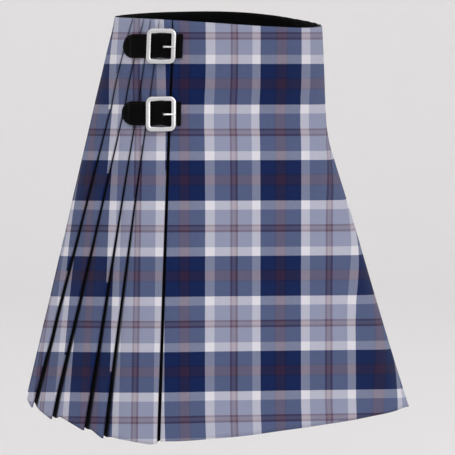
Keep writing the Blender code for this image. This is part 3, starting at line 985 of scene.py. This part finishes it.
def leather_tab(name, fitting, leather):
    """Leather tab that holds the buckle, with a slot for the prong."""
    path = tab_path()
    half = TAB_WIDTH / 2
    below = np.linspace(-half, PRONG_LIFT - TAB_SLOT / 2, TAB_CELLS)
    above = np.linspace(PRONG_LIFT + TAB_SLOT / 2, half, TAB_CELLS)
    rises = np.concatenate((below, above))
    rows = [fitting.on_body(*path.T, np.full(len(path), rise)) for rise in rises]
    mesh, row, column = grid_mesh(name, np.array(rows))
    tone_map(mesh, "from_edge", half - np.abs(rises[row]))
    in_slot = (np.abs(rises[row] - PRONG_LIFT) < TAB_SLOT) & (path[column, 0] <= SLOT_REACH)
    bm = bmesh.new()
    bm.from_mesh(mesh)
    slot = [face for face in bm.faces if all(in_slot[vert.index] for vert in face.verts)]
    bmesh.ops.delete(bm, geom=slot, context="FACES")
    bm.to_mesh(mesh)
    bm.free()
    return leather_piece(name, mesh, TAB_THICK, leather)


def leather_piece(name, mesh, thickness, leather):
    """A sheet of leather with its thickness and softened edges."""
    piece = put(name, mesh, (leather,))
    thicken(piece, thickness)
    bevel = piece.modifiers.new("edges", "BEVEL")
    bevel.width = STRAP_EDGE
    bevel.segments = EDGE_STEPS
    bevel.limit_method = "ANGLE"
    bevel.angle_limit = EDGE_ANGLE
    return piece


def ring_mesh(bm, rings):
    """Join rings of a section into a tube."""
    mesh, _, _ = grid_mesh("rings", rings)
    start = len(bm.verts)
    bm.from_mesh(mesh)
    bpy.data.meshes.remove(mesh)
    bm.verts.ensure_lookup_table()
    bmesh.ops.remove_doubles(bm, verts=bm.verts[start:], dist=MERGE)


def metal_piece(name, bm, silver):
    """One piece of metal from its mesh."""
    bmesh.ops.recalc_face_normals(bm, faces=bm.faces)
    return put(name, mesh_from(name, bm), (silver,))


def bar_section(width, thickness, sides, squareness):
    """Closed section of a bar with soft edges: places across it and through it."""
    turns = np.linspace(0, 2 * math.pi, sides + 1)
    across = width / 2 * power(np.cos(turns), 2 / squareness)
    through = thickness / 2 * power(np.sin(turns), 2 / squareness)
    return across, through


def frame_rings(fitting):
    """The section of the frame's bar, at places round the frame."""
    across, through = bar_section(FRAME_BAR, FRAME_THICK, FRAME_SIDES, FRAME_SQUARENESS)
    reach = FRAME_CORNER + across
    corner_run = (FRAME_LENGTH - FRAME_BAR) / 2 - FRAME_CORNER
    corner_rise = (FRAME_HEIGHT - FRAME_BAR) / 2 - FRAME_CORNER
    rings = []
    for quarter, (east, north) in enumerate(((1, 1), (-1, 1), (-1, -1), (1, -1))):
        for step in range(CORNER_STEPS + 1):
            turn = math.pi / 2 * (quarter + step / CORNER_STEPS)
            run = east * corner_run + reach * math.cos(turn)
            rise = north * corner_rise + reach * math.sin(turn)
            rings.append(fitting.in_plane(run, FRAME_LEVEL + through, rise))
    rings.append(rings[0])
    return np.array(rings)


def buckle_frame(name, fitting, silver):
    """Rounded frame with a centre bar."""
    bm = bmesh.new()
    ring_mesh(bm, frame_rings(fitting))
    bmesh.ops.create_cone(
        bm,
        cap_ends=True,
        segments=BAR_SIDES,
        radius1=BAR_RADIUS,
        radius2=BAR_RADIUS,
        depth=FRAME_HEIGHT - FRAME_BAR,
        matrix=fitting.matrix(BAR_HEIGHT) @ Matrix.Rotation(math.pi / 2, 4, "X"),
    )
    return metal_piece(name, bm, silver)


def smooth_curve(points):
    """A curve through a few points."""
    points = np.array(points)
    ends = (2 * points[:1] - points[1:2], points, 2 * points[-1:] - points[-2:-1])
    line = np.concatenate(ends)
    parts = np.linspace(0, 1, CURVE_STEPS, endpoint=False)[:, None]
    curve = []
    for before, start, end, after in zip(line, line[1:], line[2:], line[3:]):
        bend = 2 * before - 5 * start + 4 * end - after
        twist = 3 * start - before - 3 * end + after
        curve.append(start + ((end - before) * parts + bend * parts**2 + twist * parts**3) / 2)
    return np.concatenate(curve + [points[-1:]])


def prong_path():
    """Runs and heights along the prong: an eye round the bar, then the tongue."""
    turned = eye(PRONG_TURNS, BAR_RADIUS + CLEARANCE + PRONG_THICK / 2)
    return np.concatenate((turned[:-2], smooth_curve((tuple(turned[-2]),) + PRONG_TONGUE)))


def prong_sizes(count):
    """How thick the prong is along it: tapered, with a round tip."""
    sizes = np.interp(np.arange(count), (EYE_STEPS, count), PRONG_TAPER)
    sizes[-len(TIP_ROUNDING):] *= TIP_ROUNDING
    sizes[0] = TIP_ROUNDING[-1]
    return sizes


def buckle_prong(name, fitting, silver):
    """Prong: an eye round the centre bar and a tongue that rests on the frame."""
    across, through = bar_section(PRONG_WIDTH, PRONG_THICK, PRONG_SIDES, PRONG_SQUARENESS)
    path = prong_path()
    along = np.gradient(path, axis=0)
    along /= np.linalg.norm(along, axis=1)[:, None]
    rings = []
    for (run, height), (ahead, upward), size in zip(path, along, prong_sizes(len(path))):
        runs = run + upward * through * size
        outs = height - ahead * through * size
        rings.append(fitting.in_plane(runs, outs, PRONG_LIFT + across * size))
    bm = bmesh.new()
    ring_mesh(bm, np.array(rings))
    return metal_piece(name, bm, silver)


# ---------------------------------------------------------------- stitching
def stitch_mesh(name, ends, outwards, radius, thread):
    """Stitches as short rounded threads, from their ends and the way out from the cloth."""
    bm = bmesh.new()
    for (start, end), out in zip(ends, outwards):
        along = Vector(end) - Vector(start)
        half = along.length / 2
        along.normalize()
        side = Vector(out).cross(along).normalized()
        turn = Matrix((along, side, along.cross(side))).transposed().to_4x4()
        place = Matrix.Translation((Vector(start) + Vector(end)) / 2) @ turn
        place = place @ Matrix.Diagonal((half, radius, radius, 1.0))
        bmesh.ops.create_icosphere(bm, subdivisions=1, radius=1.0, matrix=place)
    return put(name, mesh_from(name, bm), (thread,))


def strap_stitch_line(root, tip):
    """Runs and rises of a strap's stitching: across its root and round its sides and tip."""
    inner = STRAP_WIDTH / 2 - STITCH_INSET
    start = root[-1][0] + STITCH_INSET
    turns = np.linspace(-math.pi / 2, math.pi / 2, STITCH_TURN_STEPS + 1)
    into = tip - TIP_LENGTH + (TIP_LENGTH - STITCH_INSET) * np.cos(turns)
    tip_line = np.column_stack((into, inner * np.sin(turns)))
    return np.concatenate((((start, inner), (start, -inner)), tip_line, ((start, inner),)))


def along_line(line, pitch, length):
    """Where each stitch starts and ends along a line."""
    steps = np.linalg.norm(np.diff(line, axis=0), axis=1)
    reach = np.concatenate(((0.0,), np.cumsum(steps)))
    starts = np.arange(pitch / 2, reach[-1] - length, pitch)
    first = [np.interp(starts, reach, line[:, axis]) for axis in range(2)]
    last = [np.interp(starts + length, reach, line[:, axis]) for axis in range(2)]
    return first, last


def strap_stitches(name, fitting, root, tip, thread):
    """Saddle stitching round a strap's edge."""
    line = strap_stitch_line(root, tip)
    sides = []
    for runs, rises in along_line(line, STITCH_PITCH, STITCH_LENGTH):
        outs = strap_heights(runs, root) + STRAP_THICK / 2
        sides.append(fitting.on_body(runs, outs, STRAP_LIFT + rises))
    ends = list(zip(*sides))
    outwards = [fitting.out] * len(ends)
    return stitch_mesh(name, ends, outwards, STITCH_RADIUS, thread)


def pleat_stitches(name, first, last, thread):
    """Small stitches that hold each fold down, from the waist to the hip."""
    step = PLEAT_STITCH_PITCH / LENGTH
    half = PLEAT_STITCH_LENGTH / LENGTH / 2
    ends = []
    outwards = []
    for share in np.arange(*PLEAT_STITCH_SHARES, step):
        upper, level, lower = (Level(share=share + shift) for shift in (-half, 0, half))
        for index in range(first, last):
            arc = fold_arc(index, share, level) + LAYER / 2
            ends.append((upper.at(arc, CLOTH / 2), lower.at(arc, CLOTH / 2)))
            outwards.append(level.at(arc, 1.0) - level.at(arc, 0.0))
    return stitch_mesh(name, ends, outwards, PLEAT_STITCH_RADIUS, thread)


# ---------------------------------------------------------------- finishes
class Finish:
    """A Principled finish and short ways to add nodes to it."""

    def __init__(self, name, roughness, metallic=0.0):
        self.material = bpy.data.materials.new(name)
        self.material.use_nodes = True
        self.tree = self.material.node_tree
        self.shader = self.tree.nodes["Principled BSDF"]
        self.set(Roughness=roughness, Metallic=metallic)

    def set(self, **values):
        """Set the shader's own sockets; an underscore stands for a space."""
        for name, value in values.items():
            self.shader.inputs[name.replace("_", " ")].default_value = value

    def node(self, kind, inputs=(), **settings):
        """Add a node with its settings and what goes into it."""
        made = self.tree.nodes.new("ShaderNode" + kind)
        for name, value in settings.items():
            setattr(made, name, value)
        for key, value in dict(inputs).items():
            self.feed(made.inputs[key], value)
        return made

    def feed(self, socket, value):
        """Link a node's output to a socket, or set its value."""
        if isinstance(value, bpy.types.NodeSocket):
            self.tree.links.new(value, socket)
        else:
            socket.default_value = value

    def math(self, operation, *values):
        """One step of arithmetic."""
        return self.node("Math", dict(enumerate(values)), operation=operation).outputs[0]

    def mix(self, factor, first, second, blend="MIX"):
        """Mix two colours."""
        made = self.node("Mix", data_type="RGBA", blend_type=blend)
        self.feed(made.inputs[0], factor)
        self.feed(made.inputs[6], first)
        self.feed(made.inputs[7], second)
        return made.outputs[2]

    def shade(self, socket, value):
        """Feed one of the shader's sockets."""
        self.feed(self.shader.inputs[socket], value)

    def bump(self, height, strength, distance):
        """Raise the surface by a height."""
        values = {"Height": height, "Strength": strength, "Distance": distance}
        self.shade("Normal", self.node("Bump", values).outputs[0])

    def line(self, value, slope, start):
        """A value on a straight line."""
        return self.math("MULTIPLY_ADD", value, slope, start)

    def noise(self, place, scale, detail):
        """A noise over the surface."""
        return self.node("TexNoise", {"Vector": place, "Scale": scale, "Detail": detail})

    def on_weave(self):
        """Places on the cloth's own map, in setts."""
        return self.node("UVMap", uv_map="weave").outputs[0]

    def on_object(self):
        """Places on the piece, in metres."""
        return self.node("TexCoord").outputs["Object"]

    def tone(self, name):
        """A named value of the mesh."""
        return self.node("Attribute", attribute_name=name).outputs["Fac"]


def stripe_ramp(finish, place):
    """The tartan's stripes across one direction of the weave."""
    made = finish.node("ValToRGB", {"Fac": finish.math("FRACT", place)})
    ramp = made.color_ramp
    ramp.interpolation = "CONSTANT"
    total = sum(width for width, _ in STRIPES)
    position = 0.0
    for number, (width, yarn) in enumerate(STRIPES):
        stop = ramp.elements[number] if number < 1 else ramp.elements.new(position / total)
        stop.position = position / total
        stop.color = (*YARNS[yarn], 1.0)
        position += width
    ramp.elements.remove(ramp.elements[len(STRIPES)])
    return made.outputs[0]


def linear(finish, colour):
    """From the tone the eye reads to the amount of light."""
    slope, start = 1 / (1 + TONE_OFFSET), TONE_OFFSET / (1 + TONE_OFFSET)
    values = {0: colour, 1: (slope,) * 3, 2: (start,) * 3}
    scaled = finish.node("VectorMath", values, operation="MULTIPLY_ADD")
    return finish.node("Gamma", {0: scaled.outputs[0], 1: TONE_POWER}).outputs[0]


def tartan(name, dark_part):
    """Wool twill: warp and weft stripes that mix where they cross, sheen and nap."""
    finish = Finish(name, roughness=0.85)
    finish.set(Specular_IOR_Level=0.06, Sheen_Weight=0.03, Sheen_Roughness=0.5)
    weave = finish.on_weave()
    wander = finish.noise(weave, *WANDER_NOISE).outputs["Color"]
    yarns = finish.node(
        "VectorMath", {0: wander, 1: (YARN_WANDER,) * 3, 2: weave}, operation="MULTIPLY_ADD"
    )
    place = finish.node("SeparateXYZ", {0: yarns.outputs[0]})
    across, down = place.outputs[0], place.outputs[1]
    ribs = finish.node("VectorMath", {0: weave, "Scale": SETT / TWILL_PITCH}, operation="SCALE")
    threads = finish.node("SeparateXYZ", {0: ribs.outputs[0]})
    diagonal = finish.math("ADD", threads.outputs[0], threads.outputs[1])
    twill = finish.math("PINGPONG", diagonal, 0.5)
    over = finish.line(twill, 2 * TWILL_SHOW, 0.5 - TWILL_SHOW / 2)
    colour = finish.mix(over, stripe_ramp(finish, across), stripe_ramp(finish, down))
    slub = finish.line(finish.noise(weave, *SLUB_NOISE).outputs[0], *SLUB_TONE)
    toned = finish.mix(1.0, linear(finish, colour), slub, "MULTIPLY")
    # Mix the black in where dark_part says: painted shade between and inside the pleats on the
    # outer side, the black binding tape on the inner side.
    finish.shade("Base Color", finish.mix(dark_part(finish), toned, PAINTED_SHADE_AND_BINDING_BLACK))
    nap = finish.noise(weave, *NAP_NOISE).outputs[0]
    finish.bump(finish.math("ADD", twill, nap), *TWILL_BUMP)
    return finish.material


def in_shadow(finish):
    """How deep the outer side lies in the shade painted between the pleats."""
    return finish.tone("shadow")


def under_binding(finish):
    """The black tape that binds the waist edge inside."""
    return finish.math("LESS_THAN", finish.tone("below_waist"), BINDING_WIDTH)


def black_cotton():
    """Plain black lining cloth with a fine weave."""
    finish = Finish("lining_cotton", roughness=0.8)
    finish.set(Specular_IOR_Level=0.04, Sheen_Weight=0.02)
    noise = finish.noise(finish.on_weave(), *COTTON_NOISE).outputs[0]
    finish.shade("Base Color", finish.mix(noise, *COTTON_TONES))
    finish.bump(noise, *COTTON_BUMP)
    return finish.material


def black_leather():
    """Black strap leather with a fine grain, a creased line along its edge and a worn edge."""
    finish = Finish("strap_leather", roughness=0.5)
    finish.set(Specular_IOR_Level=0.019)
    place = finish.on_object()
    grain = finish.node("TexVoronoi", {"Vector": place, "Scale": GRAIN_SCALE}).outputs[0]
    pores = finish.noise(place, *PORE_NOISE).outputs[0]
    edge = finish.tone("from_edge")
    near = finish.math("MAXIMUM", finish.line(edge, -1 / EDGE_WEAR, 1.0), 0.0)
    worn = finish.math("MULTIPLY", near, pores)
    finish.shade("Base Color", finish.mix(worn, finish.mix(pores, *LEATHER_TONES), WORN_LEATHER))
    finish.shade("Roughness", finish.line(pores, *LEATHER_ROUGHNESS))
    off = finish.math("ABSOLUTE", finish.math("SUBTRACT", edge, CREASE_INSET))
    crease = finish.math("MINIMUM", finish.math("MULTIPLY", off, 1 / CREASE_WIDTH), 1.0)
    finish.bump(finish.line(grain, GRAIN_SHOW, crease), *LEATHER_BUMP)
    return finish.material


def sewing_thread(name, colour):
    """Waxed sewing thread with its twist, and shade painted darker in the twist's hollows."""
    finish = Finish(name, roughness=0.6)
    finish.set(Specular_IOR_Level=0.15)
    values = {"Vector": finish.on_object(), "Scale": TWIST_SCALE, "Distortion": 1.0}
    twist = finish.node("TexWave", values).outputs[1]
    # Painted shade: a darker copy of the thread's colour in the twist's hollows.
    hollow_shade = tuple(part * THREAD_HOLLOW_SHADE for part in colour)
    finish.shade("Base Color", finish.mix(twist, (*hollow_shade, 1.0), (*colour, 1.0)))
    finish.bump(twist, *THREAD_BUMP)
    return finish.material


def polished_silver():
    """Polished silver-coloured metal with faint polishing marks."""
    finish = Finish("polished_silver", roughness=0.24, metallic=1.0)
    marks = finish.noise(finish.on_object(), *POLISH_NOISE).outputs[0]
    finish.shade("Base Color", finish.mix(marks, *SILVER_TONES))
    finish.shade("Roughness", finish.line(marks, *SILVER_ROUGHNESS))
    finish.bump(marks, *SILVER_BUMP)
    return finish.material


# ---------------------------------------------------------------- camera, floor and light
def set_up(name, data, place, back):
    """A camera or a lamp at a place, with its back turned the way that is given."""
    made = bpy.data.objects.new(name, data)
    made.location = place
    made.rotation_euler = back.to_track_quat("Z", "Y").to_euler()
    bpy.context.scene.collection.objects.link(made)
    return made


def camera():
    """Camera to the wearer's front right, a little above the middle of the kilt."""
    data = bpy.data.cameras.new("camera")
    data.lens = CAMERA_LENS
    flat = math.cos(CAMERA_RISE)
    across, forward = math.sin(CAMERA_TURN) * flat, math.cos(CAMERA_TURN) * flat
    back = Vector((-across, -forward, math.sin(CAMERA_RISE)))
    place = CAMERA_AIM + back * CAMERA_AWAY
    bpy.context.scene.camera = set_up("camera", data, place, back)


def stage_profile():
    """Places out and up along the floor, its curve and the wall."""
    inner = STAGE_RADIUS - STAGE_CURVE
    turns = np.linspace(0, math.pi / 2, STAGE_CURVE_STEPS + 1)
    out, up = STAGE_CURVE * np.sin(turns), STAGE_CURVE * (1 - np.cos(turns))
    return [(0.0, 0.0), *zip(inner + out, up), (STAGE_RADIUS, STAGE_HEIGHT)]


def stage():
    """A pale round floor that curves up into a wall on every side."""
    bm = bmesh.new()
    line = [bm.verts.new((out, 0.0, FLOOR_LEVEL + up)) for out, up in stage_profile()]
    edges = [bm.edges.new(pair) for pair in zip(line, line[1:])]
    bmesh.ops.spin(
        bm,
        geom=line + edges,
        cent=(0, 0, 0),
        axis=(0, 0, 1),
        angle=2 * math.pi,
        steps=STAGE_SIDES,
        use_merge=True,
    )
    bmesh.ops.remove_doubles(bm, verts=bm.verts, dist=STAGE_MERGE)
    bmesh.ops.recalc_face_normals(bm, faces=bm.faces)
    finish = Finish("studio_paper", roughness=0.9)
    finish.set(Specular_IOR_Level=0.1)
    height = finish.node("SeparateXYZ", {0: finish.on_object()}).outputs[2]
    values = {0: height, 1: FLOOR_LEVEL, 2: FLOOR_LEVEL + STAGE_CURVE}
    climb = finish.node("MapRange", values, clamp=True).outputs[0]
    finish.shade("Base Color", finish.mix(climb, FLOOR_TONE, WALL_TONE))
    floor = put("studio_floor", mesh_from("studio_floor", bm), (finish.material,))


def lighting():
    """Pale even light from all round, with a soft key from the front and a fill from the left."""
    scene = bpy.context.scene
    scene.world = bpy.data.worlds.new("studio")
    scene.world.use_nodes = True
    sky = scene.world.node_tree.nodes["Background"]
    sky.inputs["Color"].default_value = SKY_TONE
    sky.inputs["Strength"].default_value = 1.0
    for name, place, size, watts in LIGHTS:
        data = bpy.data.lights.new(name, "AREA")
        data.size = size
        data.energy = watts
        set_up(name, data, place, Vector(place) - LIGHT_AIM)
    scene.view_settings.view_transform = "Standard"


# ---------------------------------------------------------------- making
def dress(piece, node):
    """Ride a piece on the model, in place of the solid it stands for."""
    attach(piece, "root")
    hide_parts(node)


def make_cloth():
    """The five cloth pieces."""
    wool = (tartan("tartan_wool", in_shadow), tartan("tartan_wool_inside", under_binding))
    cotton = (black_cotton(),) * 2
    shares = np.linspace(0, 1, CLOTH_ROWS)
    pieces = (
        ("apron_cloth", "over_apron", over_apron_section, "hung", ["left_pleats_cloth"]),
        ("under_apron_cloth", "under_apron", under_apron_section, "hung", ["right_pleats_cloth"]),
        ("right_pleats_cloth", "pleats_right", pleats_right_section, "folded", ["black_lining"]),
        ("left_pleats_cloth", "pleats_left", pleats_left_section, "folded", ["black_lining"]),
    )
    for name, node, section, held, rests_on in pieces:
        flare = tip_flare if node == "over_apron" else no_flare
        piece, hem, area = cloth(name, section, wool, shares, flare=flare)
        dress(piece, node)
        area = min(area, hem * LENGTH)
    shares = np.linspace(*LINING_SHARES, LINING_ROWS)
    piece, hem, area = cloth("black_lining", lining_section, cotton, shares, LINING)
    dress(piece, "lining")
    deep = (LINING_SHARES[1] - LINING_SHARES[0]) * LENGTH
    area = min(area, hem * deep)


def make_fittings():
    """Straps with their stitching, tabs, buckles and prongs."""
    leather = black_leather()
    silver = polished_silver()
    thread = sewing_thread("black_thread", BLACK_THREAD)
    for name, place, root, tip in FASTENINGS:
        fitting = Fitting(*place)
        strap = leather_strap("leather_strap_" + name, fitting, root, tip, leather)
        dress(strap, "strap_" + name)
        frame_piece = buckle_frame("silver_buckle_" + name, fitting, silver)
        dress(frame_piece, "buckle_" + name)
        prong = buckle_prong("silver_prong_" + name, fitting, silver)
        dress(prong, "prong_" + name)
        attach(strap_stitches("strap_stitches_" + name, fitting, root, tip, thread), "root")
        dress(leather_tab("leather_tab_" + name, fitting, leather), "tab_" + name)


def make_pleat_stitches():
    """The stitching of the pleats."""
    thread = sewing_thread("navy_thread", NAVY_THREAD)
    for name, first, last in (("right", 1, SEAM_FOLD), ("left", SEAM_FOLD, PLEATS)):
        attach(pleat_stitches(name + "_pleat_stitches", first, last, thread), "root")


def main():
    """Make the studio and the kilt."""
    camera()
    lighting()
    stage()
    make_cloth()
    make_fittings()
    make_pleat_stitches()


main()
